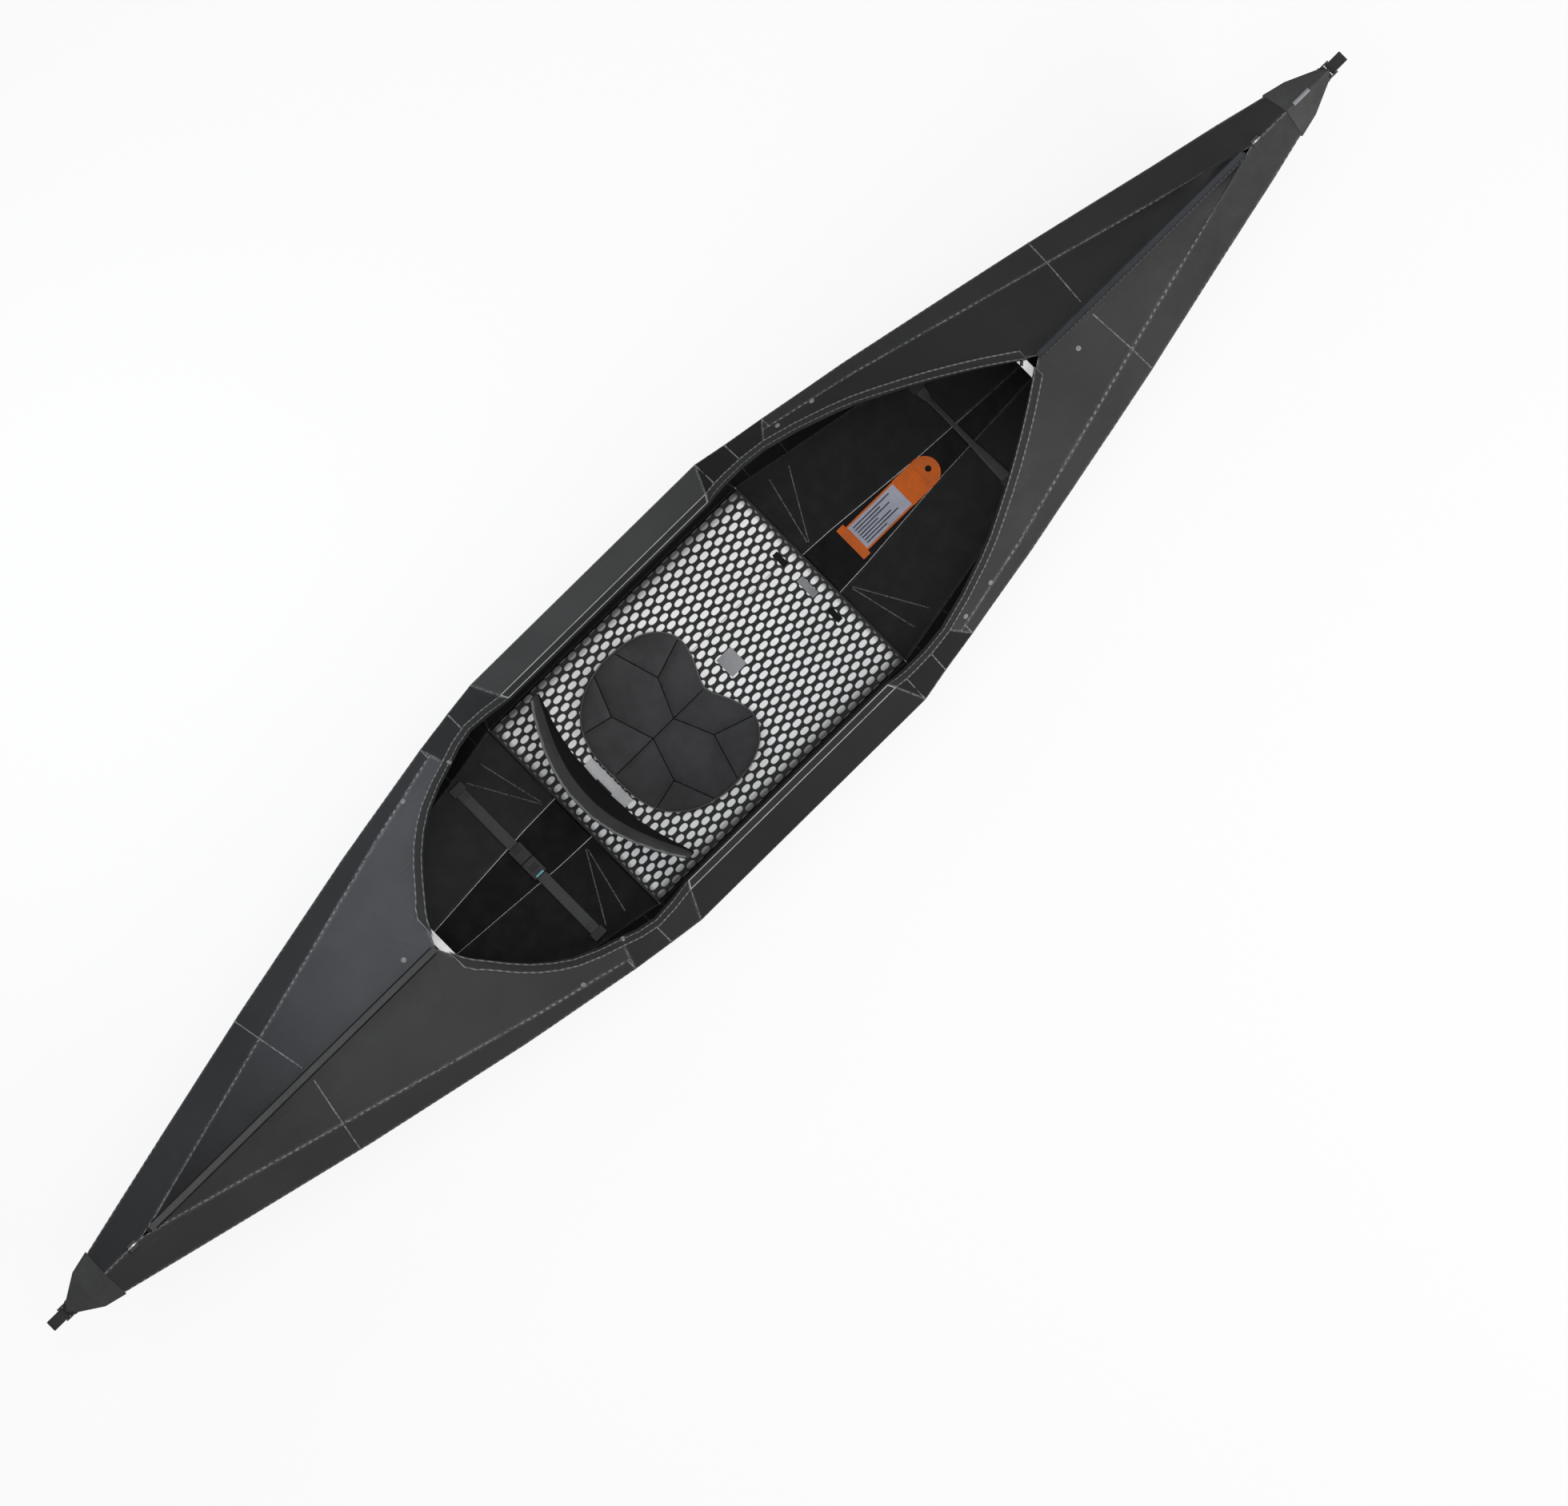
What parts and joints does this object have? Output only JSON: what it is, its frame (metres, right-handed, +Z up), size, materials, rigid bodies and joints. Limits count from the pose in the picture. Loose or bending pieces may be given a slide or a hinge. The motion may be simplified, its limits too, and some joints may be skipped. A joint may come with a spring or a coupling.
{
  "type": "folding kayak",
  "caption": "Folding kayak with a creased plastic skin, open cockpit, floorboard, quilted seat, backrest, deck rails, end caps and grab loops.",
  "frame": {"origin": "on the ground under the middle of the hull", "axes": "+X towards the bow, +Y to port, +Z up"},
  "size_m": [3.822, 0.6998, 0.3722],
  "materials": {
    "skin": "matt charcoal twin-wall sheet with pale creases",
    "rail": "dark extruded plastic",
    "trim": "dark grey edging",
    "cap": "grainy grey moulding",
    "webbing": "woven webbing",
    "pale plastic": "pale grey moulding",
    "steel": "bent wire",
    "floor": "black with a printed lattice of pale ovals",
    "cushion": "quilted charcoal fabric over foam",
    "buckle": "smooth black",
    "orange": "matt orange",
    "label": "plain printed card"
  },
  "bodies": {
    "hull": {"mid_bottom_panel": "skin", "mid_side_port": "skin", "mid_shoulder_port": "skin", "mid_side_starboard": "skin", "mid_shoulder_starboard": "skin", "stern_keel_strip": "skin", "stern_bilge_port": "skin", "stern_bilge_starboard": "skin", "stern_side_port": "skin", "stern_side_starboard": "skin", "stern_side_deck_port": "skin", "stern_side_deck_starboard": "skin", "stern_outer_deck_port": "skin", "stern_outer_deck_starboard": "skin", "stern_inner_deck_port": "skin", "stern_inner_deck_starboard": "skin", "bow_keel_strip": "skin", "bow_bilge_port": "skin", "bow_bilge_starboard": "skin", "bow_side_port": "skin", "bow_side_starboard": "skin", "bow_side_deck_port": "skin", "bow_side_deck_starboard": "skin", "bow_outer_deck_port": "skin", "bow_outer_deck_starboard": "skin", "bow_inner_deck_port": "skin", "bow_inner_deck_starboard": "skin", "mid_rim_trim_port": "trim", "mid_rim_trim_starboard": "trim", "bow_rim_trim_port": "trim", "bow_rim_trim_starboard": "trim", "stern_rim_trim_port": "trim", "stern_rim_trim_starboard": "trim", "stern_apex_plate": "pale plastic", "stern_end_cap": "cap", "stern_ring_saddle": "cap", "bow_apex_plate": "pale plastic", "bow_end_cap": "cap", "bow_ring_saddle": "cap", "front_strap_anchor_port": "buckle", "rear_strap_anchor_port": "buckle", "rear_strap_port": "webbing", "front_strap_anchor_starboard": "buckle", "rear_strap_anchor_starboard": "buckle", "rear_strap_starboard": "webbing", "front_strap": "webbing", "buckle_female": "buckle"},
    "floor and seat": {"floorboard": "floor", "seat_pad": "cushion", "seat_bracket": "pale plastic"},
    "backrest": {"backrest": "cushion"},
    "bow rail": {"bow_deck_rail": "rail"},
    "stern rail": {"stern_deck_rail": "rail"},
    "bow loop": {"bow_grab_loop": "webbing"},
    "stern loop": {"stern_grab_loop": "webbing"},
    "bow ring": {"bow_deck_ring": "steel"},
    "stern ring": {"stern_deck_ring": "steel"},
    "buckle plug": {"buckle_male": "buckle"},
    "tag": {"tag_holder": "orange", "tag_label": "label"}
  },
  "joints": [
    {"name": "floor_lift", "type": "slide", "parent": "hull", "child": "floor and seat", "axis": [0, 0, 1], "range_m": [0, 0.3]},
    {"name": "backrest_fold", "type": "hinge", "parent": "floor and seat", "child": "backrest", "pos_m": [-0.284, 0, 0.0161], "axis": [0, 1, 0], "range_deg": [0, 60]},
    {"name": "bow_rail_slide", "type": "slide", "parent": "hull", "child": "bow rail", "axis": [-0.9991, 0, -0.0422], "range_m": [0, 0.6]},
    {"name": "stern_rail_slide", "type": "slide", "parent": "hull", "child": "stern rail", "axis": [0.9999, 0, -0.0157], "range_m": [0, 0.38]},
    {"name": "bow_loop_swing", "type": "hinge", "parent": "hull", "child": "bow loop", "pos_m": [1.87388, 0, 0.33657], "axis": [0, 1, 0], "range_deg": [-50, 80]},
    {"name": "stern_loop_swing", "type": "hinge", "parent": "hull", "child": "stern loop", "pos_m": [-1.8711, 0, 0.30607], "axis": [0, -1, 0], "range_deg": [-50, 80]},
    {"name": "bow_ring_tilt", "type": "hinge", "parent": "hull", "child": "bow ring", "pos_m": [1.652, 0, 0.35021], "axis": [1, 0, 0], "range_deg": [-85, 85]},
    {"name": "stern_ring_tilt", "type": "hinge", "parent": "hull", "child": "stern ring", "pos_m": [-1.668, 0, 0.32503], "axis": [1, 0, 0], "range_deg": [-85, 85]},
    {"name": "buckle_release", "type": "slide", "parent": "hull", "child": "buckle plug", "axis": [0, -1, 0], "range_m": [0, 0.03]},
    {"name": "tag_lift", "type": "slide", "parent": "hull", "child": "tag", "axis": [0, 0, 1], "range_m": [0, 0.15]}
  ]
}
